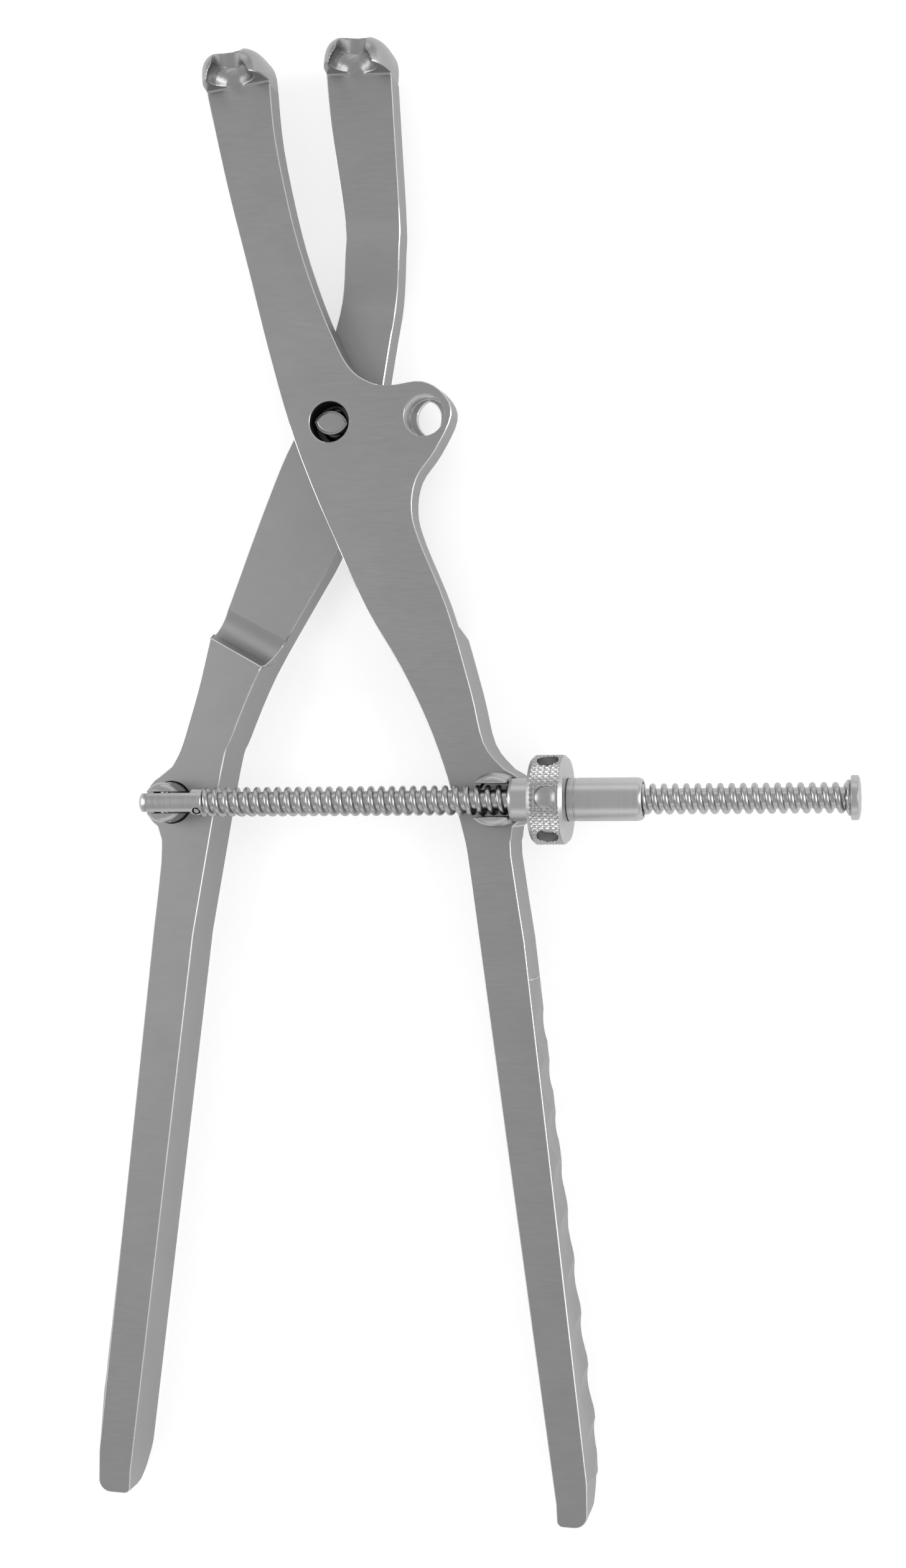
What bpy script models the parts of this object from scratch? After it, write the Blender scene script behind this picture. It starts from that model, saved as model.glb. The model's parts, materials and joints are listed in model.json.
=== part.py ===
# Pelvic reduction forceps: two crossing arms, a bayonet pivot and a threaded spindle with a nut.
# The instrument lies on its back. X points right, Y points toward the jaws, Z toward the viewer.
# The origin is on the pivot axis, in the plane that the handles rest on.
import bpy
import bmesh
from math import sin, cos, radians, pi, atan2, hypot
from mathutils import Matrix, Vector

for old in list(bpy.data.objects):
    bpy.data.objects.remove(old, do_unlink=True)

MM = 1.0                # pieces are built in millimetres and scaled to metres at the end

# driving sizes in millimetres
DEPTH = 12.0            # full depth of a handle
GAP = 0.3               # play between neighbouring pieces
LAP = DEPTH / 2         # level where the two arms lap at the pivot
HOLE_R = 4.05           # front counterbore of a pivot hole
LEDGE_Z = DEPTH - 4.5   # level of the ledge inside a pivot hole
SLOT_W, SLOT_L = 4.9, 7.2   # lens-shaped opening in the ledge
HEAD_W, HEAD_L = 4.5, 6.5   # lens-shaped head of the pivot pin
PARK = (19.4, 0.5)      # centre of the second pivot hole
POST_R = 82.62          # pivot axis to each swivel post
POST_L_DEG, POST_R_DEG = 23.65, 24.65   # post directions from the -Y axis
BUMP_R = 5.8            # rounded stock round each post
AXIS_Z = DEPTH + 4.8    # height of the spindle's axis
TILT_Z = AXIS_Z - 1.4   # height of the tongue's cross pin
ROD_R = 2.95            # outside radius of the spindle's thread
TONGUE_T = 3.7          # thickness of the flat tongue
DRUM_R = 4.05           # slotted post on the left handle
FORK_R = 5.15           # forked post on the right handle
FORK_SLOT = 6.55        # width of the fork's slot
NOSE_REACH = 3.3        # fork post's axis to the face of the nut's nose
NOSE_LONG = 4.5         # nose, from its face to the knurled ring
RING_LONG = 6.7         # length of the knurled ring
SLEEVE_LONG = 14.4      # sleeve beyond the knurled ring
RING_R = 8.65           # outside radius of the knurled ring
SLEEVE_R = 4.15         # outside radius of the nut's sleeve and nose
ROD_END = 134.7         # far end of the spindle
DISC_R = 4.2            # radius of the end stop
FOOT_W = 13.4           # width of a foot
FOOT_H = DEPTH + 7.6    # level of the front end of a foot
FOOT_T = 6.5            # length of a foot along its arm
SCREW_R = 3.0           # half width of a foot's slot
SEAT_R = 4.7            # radius of the round seat for a screw head
SEAT_Z = DEPTH + 4.6    # level of the screw's axis in a foot
JAW_BEND = [(5, 0), (16, 0), (22.5, 0.1), (27, 1.6), (32, 4.0), (36, 5.45), (40, LAP + 0.15)]   # jaw's rise
SCALLOPS = 9            # finger scallops on each handle
HANDLE_LEN = 215.8      # pivot axis to the end of the right handle
GRIP_TOP = 110.2        # pivot axis to the start of the grips
SCALLOP_PITCH = (HANDLE_LEN - GRIP_TOP) / 10.4
SCALLOP_R = 8.1
BULGE = 2.2             # how far the grip's outer side bulges at its end

POST_L = (-POST_R * sin(radians(POST_L_DEG)), -POST_R * cos(radians(POST_L_DEG)))
POST_F = (POST_R * sin(radians(POST_R_DEG)), -POST_R * cos(radians(POST_R_DEG)))
BETA = atan2(POST_F[1] - POST_L[1], POST_F[0] - POST_L[0])
SPAN = hypot(POST_F[0] - POST_L[0], POST_F[1] - POST_L[1])
# places along the spindle, from the left post's axis
NOSE_A = SPAN + NOSE_REACH
RING_A0 = NOSE_A + NOSE_LONG
RING_A1 = RING_A0 + RING_LONG
SLEEVE_END = RING_A1 + SLEEVE_LONG


# helpers
def finish(bm, name):
    bmesh.ops.remove_doubles(bm, verts=bm.verts, dist=1e-4)
    bmesh.ops.recalc_face_normals(bm, faces=bm.faces)
    if bm.calc_volume(signed=True) < 0:
        bmesh.ops.reverse_faces(bm, faces=bm.faces)
    mesh = bpy.data.meshes.new(name)
    bm.to_mesh(mesh)
    bm.free()
    obj = bpy.data.objects.new(name, mesh)
    bpy.context.scene.collection.objects.link(obj)
    return obj


def stack(name, sections):
    """Solid through outlines with the same number of points, given as (outline, height) from below."""
    bm = bmesh.new()
    rings = [[bm.verts.new((x * MM, y * MM, z * MM)) for x, y in outline] for outline, z in sections]
    n = len(rings[0])
    for a, b in zip(rings, rings[1:]):
        for i in range(n):
            bm.faces.new((a[i], a[(i + 1) % n], b[(i + 1) % n], b[i]))
    bm.faces.new(rings[0][::-1])
    bm.faces.new(rings[-1])
    return finish(bm, name)


def loft(name, low, z0, high, z1):
    return stack(name, [(low, z0), (high, z1)])


def prism(name, outline, z0, z1):
    return loft(name, outline, z0, outline, z1)


def lathe(name, profile, steps=48):
    """Solid turned about Z from (radius, height) points; radius 0 closes an end."""
    bm = bmesh.new()
    rings = []
    for r, h in profile:
        if r < 1e-6:
            rings.append([bm.verts.new((0, 0, h * MM))])
        else:
            rings.append([bm.verts.new((r * MM * cos(2 * pi * k / steps), r * MM * sin(2 * pi * k / steps), h * MM))
                          for k in range(steps)])
    closed = profile[0][0] > 1e-6
    pairs = list(zip(rings, rings[1:] + rings[:1])) if closed else list(zip(rings, rings[1:]))
    for p, q in pairs:
        for k in range(steps):
            m = (k + 1) % steps
            if len(p) == 1 and len(q) == 1:
                break
            if len(p) == 1:
                bm.faces.new((p[0], q[m], q[k]))
            elif len(q) == 1:
                bm.faces.new((p[k], p[m], q[0]))
            else:
                bm.faces.new((p[k], p[m], q[m], q[k]))
    return finish(bm, name)


def rod(name, r, h0, h1, steps=48):
    return lathe(name, [(0, h0), (r, h0), (r, h1), (0, h1)], steps)


def box(name, lo, hi):
    return prism(name, [(lo[0], lo[1]), (hi[0], lo[1]), (hi[0], hi[1]), (lo[0], hi[1])], lo[2], hi[2])


def place(obj, matrix):
    obj.data.transform(matrix)
    return obj


def at(x, y, z=0.0):
    return Matrix.Translation((x * MM, y * MM, z * MM))


def along_spindle():
    """Takes a piece turned about Z, with heights measured from the left post, onto the spindle's axis."""
    return at(POST_L[0], POST_L[1], AXIS_Z) @ Matrix.Rotation(BETA, 4, 'Z') @ Matrix.Rotation(pi / 2, 4, 'Y')


def combine(obj, tool, how):
    mod = obj.modifiers.new('cut', 'BOOLEAN')
    mod.operation = how
    mod.solver = 'EXACT'
    mod.object = tool
    deps = bpy.context.evaluated_depsgraph_get()
    mesh = bpy.data.meshes.new_from_object(obj.evaluated_get(deps))
    obj.modifiers.clear()
    old = obj.data
    obj.data = mesh
    bpy.data.meshes.remove(old)
    bpy.data.objects.remove(tool, do_unlink=True)
    return obj


def cut(obj, tool):
    return combine(obj, tool, 'DIFFERENCE')


def join(obj, tool):
    return combine(obj, tool, 'UNION')


def common(obj, tool):
    return combine(obj, tool, 'INTERSECT')


def curve(points, steps=4):
    """Smooth line through a few points."""
    out = []
    n = len(points)
    for i in range(n - 1):
        p0 = Vector(points[max(i - 1, 0)])
        p1, p2 = Vector(points[i]), Vector(points[i + 1])
        p3 = Vector(points[min(i + 2, n - 1)])
        for k in range(steps):
            t = k / steps
            out.append(tuple(0.5 * ((2 * p1) + (p2 - p0) * t + (2 * p0 - 5 * p1 + 4 * p2 - p3) * t * t
                                    + (3 * p1 - p0 - 3 * p2 + p3) * t ** 3)))
    out.append(tuple(points[-1]))
    return out


def arc(cx, cy, r, a0, a1, steps):
    return [(cx + r * cos(radians(a0 + (a1 - a0) * k / steps)), cy + r * sin(radians(a0 + (a1 - a0) * k / steps)))
            for k in range(steps + 1)]


def lens(length, width, steps=10, tip=0.35):
    """Lens outline with its long axis on X and slightly rounded tips."""
    half, rise = length / 2, width / 2
    r = (half * half + rise * rise) / (2 * rise)
    reach = atan2(half - tip, r - rise) * 180 / pi
    top = arc(0, rise - r, r, 90 + reach, 90 - reach, steps)
    bottom = arc(0, r - rise, r, -90 + reach, -90 - reach, steps)
    return top[::-1] + [(half * -1, 0)] + bottom[::-1] + [(half, 0)]


def turned(points, deg, dx=0.0, dy=0.0):
    c, s = cos(radians(deg)), sin(radians(deg))
    return [(x * c - y * s + dx, x * s + y * c + dy) for x, y in points]


# feet
def foot(name, root, deg):
    """Slotted foot on a jaw: u runs across the jaw, v out of its end."""
    u, r = FOOT_W / 2, 4.0
    front = prism('f1', [(-u, -0.6), (u, -0.6), (u, FOOT_T - r)] + arc(u - r, FOOT_T - r, r, 12, 90, 7)
                  + arc(-u + r, FOOT_T - r, r, 90, 168, 7) + [(-u, FOOT_T - r)], 0, 30)
    side = [(-0.6, LAP + 0.15), (FOOT_T - 2.0, LAP + 0.15)] + arc(FOOT_T - 2.0, LAP + 2.15, 2.0, -75, 0, 5)
    side += [(FOOT_T, 14.2)] + arc(FOOT_T - 3.6, FOOT_H - 2.6, 2.6, 35, 90, 5) + [(0.5, FOOT_H)]
    side += [(0.0, FOOT_H - 0.5), (0, DEPTH), (-0.6, DEPTH)]
    profile = prism('f2', side, -u - 1, u + 1)
    profile = place(profile, Matrix(((0, 0, 1, 0), (1, 0, 0, 0), (0, 1, 0, 0), (0, 0, 0, 1))))
    q = 2.6
    face = [(-u, 0), (u, 0), (u, FOOT_H - q - 0.4)] + arc(u - q, FOOT_H - q - 0.4, q, 10, 80, 6)
    face += [(0, FOOT_H + 0.05)] + arc(-u + q, FOOT_H - q - 0.4, q, 100, 170, 6) + [(-u, FOOT_H - q - 0.4)]
    plan = prism('f3', face, -9, 9)
    plan = place(plan, Matrix(((1, 0, 0, 0), (0, 0, -1, 0), (0, 1, 0, 0), (0, 0, 0, 1))))
    body = common(common(front, profile), plan)
    body.name = name
    u_slot = arc(0, SEAT_Z, SCREW_R, 180, 360, 14) + [(SCREW_R, 26), (-SCREW_R, 26)]
    slot = prism('f4', u_slot, -9, 9)
    cut(body, place(slot, Matrix(((1, 0, 0, 0), (0, 0, -1, 0), (0, 1, 0, 0), (0, 0, 0, 1)))))
    ball = lathe('f5', [(0, -SEAT_R)] + [(SEAT_R * cos(radians(t)), SEAT_R * sin(radians(t)))
                                         for t in range(-75, 76, 15)] + [(0, SEAT_R)], 32)
    cut(body, place(ball, at(0, -0.35, SEAT_Z)))
    place(body, at(root[0], root[1]) @ Matrix.Rotation(radians(deg), 4, 'Z'))
    return body


def grip(arm, top, bottom, outward, first):
    """Bulging outer side of a handle with its row of scallops."""
    ax, ay = top
    bx, by = bottom
    run = hypot(bx - ax, by - ay)
    dx, dy = (bx - ax) / run, (by - ay) / run
    nx, ny = outward * -dy, outward * dx
    mid, half = DEPTH / 2, DEPTH / 2
    bm = bmesh.new()
    rings = []
    stations = 9
    for i in range(stations + 1):
        t = i / stations
        s = run * t
        rise = BULGE * (0.12 + 0.88 * t) * (1.0 if i < stations else 0.55)
        ring = [(-1.2, -half), (-1.2, half)]
        for k in range(9):
            c = 1 - 2 * k / 8
            ring.append((rise * (1 - c * c), half * c))
        rings.append([bm.verts.new(((ax + dx * s + nx * p) * MM, (ay + dy * s + ny * p) * MM, (mid + q) * MM))
                      for p, q in ring])
    n = len(rings[0])
    for p, q in zip(rings, rings[1:]):
        for k in range(n):
            bm.faces.new((p[k], p[(k + 1) % n], q[(k + 1) % n], q[k]))
    bm.faces.new(rings[0])
    bm.faces.new(rings[-1][::-1])
    join(arm, finish(bm, 'bulge'))
    for i in range(SCALLOPS):
        s = first + i * SCALLOP_PITCH
        rise = BULGE * (0.12 + 0.88 * s / run)
        off = SCALLOP_R + rise - min(0.87, rise - 0.08)
        tool = rod('scallop', SCALLOP_R, -1, DEPTH + 1, 64)
        cut(arm, place(tool, at(ax + dx * s + nx * off, ay + dy * s + ny * off)))


def handle_end(bottom_out, bottom_in, side, y_end):
    """Rounded end of a handle, from its outer edge to its inner edge."""
    (ox, oy), (ix, iy) = bottom_out, bottom_in
    r = 2.6
    if side > 0:
        return [(ox, oy + 1.5)] + arc(ox - r + 0.1, y_end + r, r, -8, -90, 5) + \
            arc(ix + 1.3, y_end + 1.2, 1.2, -90, -170, 3) + [(ix, iy + 1)]
    return [(ox, oy + 1.5)] + arc(ox + r - 0.1, y_end + r, r, 188, 270, 5) + \
        arc(ix - 1.3, y_end + 1.2, 1.2, 270, 350, 3) + [(ix, iy + 1)]


# arms
def make_front_arm():
    right = curve([(-12.4, 68.85), (-11.1, 56.4), (-7.3, 39.0), (-3.2, 26.3), (0.8, 16.7), (4.1, 10.6), (8.1, 7.6),
                   (12.4, 6.7), (19.0, 7.2), (23.3, 4.6), (24.9, 0.2), (21.6, -6.6), (17.8, -12.0), (16.9, -18.0),
                   (18.5, -24.2), (24.0, -37.4), (28.8, -53.6), (31.4, -64.0), (35.4, -69.0)])
    right += arc(POST_F[0], POST_F[1], BUMP_R, 62, -62, 10)
    right += curve([(36.9, -82.6), (36.8, -86.0), (39.4, -102.4)], 2)
    right += handle_end((51.75, 7.3 - HANDLE_LEN), (45.7, 3.3 - HANDLE_LEN), 1, -HANDLE_LEN)
    left = curve([(30.6, -103.6), (28.4, -88.0), (27.2, -81.7), (24.1, -70.8), (20.0, -59.8), (14.5, -48.7),
                  (7.8, -37.6), (2.0, -25.3), (-3.6, -12.7), (-8.4, 0.0), (-12.8, 15.1), (-16.7, 30.3), (-20.7, 45.5),
                  (-23.4, 57.0), (-25.7, 67.5)])
    arm = prism('front_arm', (right + left)[::-1], 0, DEPTH)
    z = LAP + 0.15
    back = loft('back', [(-40, 90), (-40, -60), (11.0, -51.2), (30.0, -40.8), (60, -40.8), (60, 90)], -0.5,
                [(-40, 90), (-40, -57), (11.0, -48.2), (30.0, -37.8), (60, -37.8), (60, 90)], z)
    cut(arm, back)
    join(arm, foot('left_foot', ((-25.7 - 12.4) / 2, (67.5 + 68.85) / 2), 5.8))
    for cx, cy in ((0, 0), PARK):
        cut(arm, place(rod('bore', HOLE_R, LEDGE_Z, DEPTH + 1), at(cx, cy)))
        cut(arm, prism('slot', turned(lens(SLOT_L, SLOT_W), 90, cx, cy), 5, LEDGE_Z + 0.5))
    grip(arm, (40.3, -GRIP_TOP), (51.6, 8.6 - HANDLE_LEN), 1, 9.9)
    x, y = POST_F
    bore = lathe('bore', [(0, -1), (4.7, -1), (4.7, 2.2), (3.5, 2.2), (3.5, DEPTH - 3.4), (4.7, DEPTH - 3.4),
                          (4.7, DEPTH + 1), (0, DEPTH + 1)])
    cut(arm, place(bore, at(x, y)))
    return arm


def make_rear_arm():
    left = curve([(-0.55, 69.1), (0.4, 58.9), (2.7, 44.0), (3.4, 37.5), (3.0, 34.0), (1.8, 27.6), (0.1, 21.6),
                  (-1.9, 15.0), (-4.6, 7.4), (-8.2, 0.0), (-11.5, -6.5), (-14.6, -13.8), (-17.6, -21.3),
                  (-20.5, -28.9), (-23.6, -37.5), (-27.0, -51.0), (-29.2, -58.6), (-31.3, -65.0), (-33.2, -68.5)])
    left += arc(POST_L[0], POST_L[1], BUMP_R, 118, 238, 10)
    left += curve([(-35.4, -83.2), (-35.5, -88.0), (-37.0, -101.0)], 2)
    left += handle_end((-48.85, 6.3 - HANDLE_LEN), (-42.05, 2.8 - HANDLE_LEN), -1, -0.6 - HANDLE_LEN)
    right = curve([(-28.6, -102.5), (-22.6, -69.5), (-20.3, -62.5), (-14.6, -49.6), (-5.6, -34.4), (-1.2, -27.0),
                   (2.9, -18.0), (6.0, -9.0), (8.2, 0.0), (9.5, 8.0), (10.7, 15.2), (11.8, 21.3), (13.1, 27.8),
                   (14.0, 33.5), (14.5, 39.5), (13.6, 55.1), (12.8, 68.3)])
    arm = prism('rear_arm', left + right, 0, DEPTH)
    z = LAP - 0.15
    lower = loft('lower', [(-60, -23.4), (-24.4, -40.3), (-13.5, -46.3), (10, -59), (60, -59), (60, 8), (-60, 8)], z,
                 [(-60, -26), (-24.4, -42.8), (-13.5, -48.8), (10, -61.5), (60, -61.5), (60, 8), (-60, 8)],
                 DEPTH + 0.05)
    cut(arm, lower)
    # the jaw is set forward by one lap in a gentle S, with its two faces parallel
    rise = [(y, max(h, 0)) for y, h in curve(JAW_BEND, 2)]
    front = [(y, h + z) for y, h in rise[:-1]] + [(rise[-1][0], DEPTH + 0.05), (80, DEPTH + 0.05)]
    above = prism('above', front + [(80, 30), (5, 30)], -40, 60)
    below = prism('below', rise + [(80, LAP + 0.15), (80, -9), (5, -9)], -40, 60)
    for tool in (above, below):
        cut(arm, place(tool, Matrix(((0, 0, 1, 0), (1, 0, 0, 0), (0, 1, 0, 0), (0, 0, 0, 1)))))
    join(arm, foot('right_foot', ((-0.55 + 12.8) / 2, (69.1 + 68.3) / 2), -3.5))
    cut(arm, lathe('bore', [(0, -1), (4.3, -1), (4.3, 1.9), (3.0, 1.9), (3.0, 8), (0, 8)]))
    grip(arm, (-38.0, -GRIP_TOP), (-48.75, 7.6 - HANDLE_LEN), -1, 11.6)
    x, y = POST_L
    bore = lathe('bore', [(0, -1), (4.7, -1), (4.7, 2.2), (3.3, 2.2), (3.3, DEPTH - 4), (DRUM_R + GAP, DEPTH - 4),
                          (DRUM_R + GAP, DEPTH + 1), (0, DEPTH + 1)])
    cut(arm, place(bore, at(x, y)))
    return arm


front_arm = make_front_arm()
rear_arm = make_rear_arm()

# pivot pin: riveted in the rear arm, its lens head keeps the front arm on
pin = lathe('pivot_pin', [(0, 0), (3.7, 0), (4.0, 0.3), (4.0, 1.6), (2.7, 1.6), (2.7, 5.6), (2.2, 5.85),
                          (2.2, LEDGE_Z + 1.0), (0, LEDGE_Z + 1.0)], 40)
head = turned(lens(HEAD_L, HEAD_W), -5)
small = turned(lens(HEAD_L - 0.8, HEAD_W - 0.8), -5)
join(pin, prism('head', head, LEDGE_Z + GAP, DEPTH - 1.4))
join(pin, loft('dome', head, DEPTH - 1.45, small, DEPTH - 1.1))
pin.name = 'pivot_pin'

# left swivel post: a slotted drum with a domed top, riveted behind the handle
def dome(r, z0, z1, h, steps=5):
    """Profile points of a drum with a low rounded top of height h."""
    return [(r, z0)] + [(r * cos(radians(90 * k / steps)) ** 0.7, z1 - h + h * sin(radians(90 * k / steps)))
                        for k in range(steps)]


turn = Matrix.Rotation(BETA, 4, 'Z')
post = lathe('spindle_post', [(0, 1.0), (2.6, 1.0), (2.6, 2.05), (3.0, 2.05), (3.0, DEPTH - 3.7)]
             + dome(DRUM_R, DEPTH - 3.7, DEPTH + 6.6, 1.5) + [(0, DEPTH + 6.6)], 56)
slot = box('slot', (-9, -TONGUE_T / 2 - GAP, DEPTH - 2.2), (9, TONGUE_T / 2 + GAP, DEPTH + 13))
cut(post, slot)
cross = place(rod('cross', 1.2, -9, 9, 24), at(0, 0, TILT_Z) @ Matrix.Rotation(pi / 2, 4, 'X'))
cut(post, cross)
place(post, at(POST_L[0], POST_L[1]) @ turn)
ring = lathe('spindle_post_ring', [(2.9, 0.3), (4.1, 0.3), (4.4, 0.6), (4.4, 1.75), (2.9, 1.75)], 48)
place(ring, at(POST_L[0], POST_L[1]))

# right swivel post: an open fork, with a flat on its right side for the nut
fork = lathe('fork_post', [(0, 1.0), (2.8, 1.0), (2.8, 2.05), (3.2, 2.05), (3.2, DEPTH - 3.1),
                           (4.4, DEPTH - 3.1), (4.4, DEPTH + GAP)]
             + dome(FORK_R, DEPTH + GAP, DEPTH + 7.8, 2.2) + [(0, DEPTH + 7.8)], 64)
channel = box('channel', (-9, -FORK_SLOT / 2, DEPTH - 0.8), (9, FORK_SLOT / 2, DEPTH + 13))
cut(fork, channel)
cut(fork, box('flat', (NOSE_REACH - GAP, -9, DEPTH + GAP + 0.01), (12, 9, DEPTH + 13)))
place(fork, at(POST_F[0], POST_F[1]) @ turn)
fork_ring = lathe('fork_post_ring', [(3.1, 0.3), (4.1, 0.3), (4.4, 0.6), (4.4, 1.75), (3.1, 1.75)], 48)
place(fork_ring, at(POST_F[0], POST_F[1]))

# tongue: a round end piece with two flats, that tilts on the cross pin
tongue = lathe('spindle_tongue', [(0, -4.8)] + [(2.9 * sin(radians(t)), -2.6 - 2.2 * cos(radians(t)))
                                                for t in (22, 45, 68, 90)] + [(2.9, 8.9), (0, 8.9)], 48)
for s in (-1, 1):
    y0, y1 = sorted((s * TONGUE_T / 2, s * 9))
    # the turned piece stands along Z here; its Y stays the spindle's sideways direction
    cut(tongue, box('flat', (-9, y0, -9), (9, y1, 6.5)))
hole = place(rod('hole', 1.2, -9, 9, 24), at(AXIS_Z - TILT_Z, 0, 0) @ Matrix.Rotation(pi / 2, 4, 'X'))
cut(tongue, hole)
lock_at = Matrix.Rotation(radians(40), 4, 'Z') @ at(0, 0, 7.8) @ Matrix.Rotation(-pi / 2, 4, 'Y')
cut(tongue, place(rod('lock_hole', 0.85, 0.9, 4, 16), lock_at))
place(tongue, along_spindle())
lock = place(rod('tongue_lock_pin', 0.55, 1.2, 2.8, 16), along_spindle() @ lock_at)

tongue_pin = rod('tongue_pin', 0.9, -3.7, 3.7, 24)
place(tongue_pin, at(POST_L[0], POST_L[1], TILT_Z) @ turn @ Matrix.Rotation(pi / 2, 4, 'X'))

# spindle and stop
spindle = lathe('threaded_spindle', [(0, 9.2), (ROD_R - 0.3, 9.2), (ROD_R, 9.5), (ROD_R, ROD_END - 0.6),
                                     (ROD_R - 0.5, ROD_END), (0, ROD_END)], 40)
place(spindle, along_spindle())
disc = lathe('stop_disc', [(0, ROD_END + GAP), (DISC_R - 0.2, ROD_END + GAP), (DISC_R, ROD_END + 0.5),
                           (DISC_R, ROD_END + 1.5), (DISC_R - 0.5, ROD_END + 1.9), (DISC_R * 0.5, ROD_END + 2.15),
                           (0, ROD_END + 2.2)], 48)
place(disc, along_spindle())

# nut: nose, sleeve and knurled ring
BORE = ROD_R + GAP
nose = lathe('thrust_collar', [(BORE, NOSE_A + 0.25), (BORE + 0.25, NOSE_A)] + [
    (SLEEVE_R - 0.5 + 0.5 * sin(radians(t)), NOSE_A + 0.9 - 0.9 * cos(radians(t))) for t in (0, 30, 60, 90)]
    + [(SLEEVE_R, RING_A0 - GAP), (BORE, RING_A0 - GAP)], 48)
place(nose, along_spindle())
sleeve = lathe('nut_sleeve', [(BORE, RING_A0 + 0.05), (SLEEVE_R - 0.35, RING_A0 + 0.05),
                              (SLEEVE_R - 0.35, RING_A1 + 0.35), (SLEEVE_R, RING_A1 + 0.5)] + [
    (SLEEVE_R - 0.65 + 0.65 * cos(radians(t)), SLEEVE_END - 1.4 + 1.4 * sin(radians(t))) for t in (0, 30, 60, 90)]
    + [(BORE + 0.2, SLEEVE_END), (BORE, SLEEVE_END - 0.2)], 48)
place(sleeve, along_spindle())
wheel = lathe('knurled_ring', [(SLEEVE_R + 0.02, RING_A0), (RING_R - 0.8, RING_A0), (RING_R, RING_A0 + 0.8),
                               (RING_R, RING_A1 - 0.8), (RING_R - 0.8, RING_A1), (SLEEVE_R + 0.02, RING_A1)], 72)
for i in range(6):
    spot = Matrix.Rotation(radians(60 * i - 4), 4, 'Z') @ at(0, 0, (RING_A0 + RING_A1) / 2 + 0.1)
    drill = lathe('drill', [(0, 4.9), (2.1, 6.1), (2.1, 12), (0, 12)], 24)
    cut(wheel, place(drill, spot @ Matrix.Rotation(-pi / 2, 4, 'Y')))
place(wheel, along_spindle())

# looks and origins
LOOK = {
    'rear_arm': (0.56, 0.42), 'front_arm': (0.56, 0.42), 'pivot_pin': (0.60, 0.30), 'spindle_post': (0.60, 0.32),
    'spindle_post_ring': (0.60, 0.35), 'tongue_pin': (0.60, 0.30), 'spindle_tongue': (0.62, 0.32),
    'tongue_lock_pin': (0.55, 0.35), 'threaded_spindle': (0.62, 0.28), 'stop_disc': (0.66, 0.30),
    'fork_post': (0.60, 0.32), 'fork_post_ring': (0.60, 0.35), 'thrust_collar': (0.68, 0.30),
    'nut_sleeve': (0.70, 0.28), 'knurled_ring': (0.70, 0.33)}
ORIGIN = {
    'front_arm': (0, 0, 0), 'pivot_pin': (0, 0, 0), 'rear_arm': (0, 0, 0),
    'spindle_post': (*POST_L, 0), 'spindle_post_ring': (*POST_L, 0), 'fork_post': (*POST_F, 0),
    'fork_post_ring': (*POST_F, 0), 'tongue_pin': (*POST_L, TILT_Z), 'spindle_tongue': (*POST_L, TILT_Z),
    'tongue_lock_pin': (*POST_L, TILT_Z), 'threaded_spindle': (*POST_L, TILT_Z), 'stop_disc': (*POST_L, TILT_Z)}
on_axis = Vector((POST_L[0] + NOSE_A * cos(BETA), POST_L[1] + NOSE_A * sin(BETA), AXIS_Z))
ROUND = [n for n in LOOK if n not in ('rear_arm', 'front_arm')]
for name, (grey, rough) in LOOK.items():
    obj = bpy.data.objects[name]
    mat = bpy.data.materials.new(name + '_steel')
    mat.use_nodes = True
    shader = mat.node_tree.nodes['Principled BSDF']
    shader.inputs['Base Color'].default_value = (grey, grey, grey * 1.01, 1)
    shader.inputs['Metallic'].default_value = 1.0
    shader.inputs['Roughness'].default_value = rough
    mat.diffuse_color = (grey, grey, grey, 1)
    obj.data.materials.clear()
    obj.data.materials.append(mat)
    o = Vector(ORIGIN[name]) if name in ORIGIN else on_axis
    obj.data.transform(Matrix.Scale(0.001, 4) @ Matrix.Translation(-o))
    obj.location = o * 0.001
    if name in ROUND:
        for poly in obj.data.polygons:
            poly.use_smooth = True
        obj.data.set_sharp_from_angle(angle=radians(32))
for n in LOOK:
    print(n, sum(len(p.vertices) - 2 for p in bpy.data.objects[n].data.polygons))
print('pieces', len(LOOK), 'triangles', sum(len(p.vertices) - 2 for n in LOOK for p in bpy.data.objects[n].data.polygons))
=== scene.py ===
# %% [markdown]
# # Pelvic reduction forceps: the looks
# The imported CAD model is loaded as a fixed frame. Every piece below takes its place and size from it,
# gets the fine shape that the CAD leaves out (thread, knurl, weld bead, broken edges) and a steel finish.
# Lengths whose name ends in _mm or _MM, and the numbers given to turned() and block(), are millimetres.
# All other lengths are metres.

import json
from math import atan2, ceil, cos, hypot, pi, radians, sin

import bmesh
import bpy
from mathutils import Matrix, Vector, noise


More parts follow.
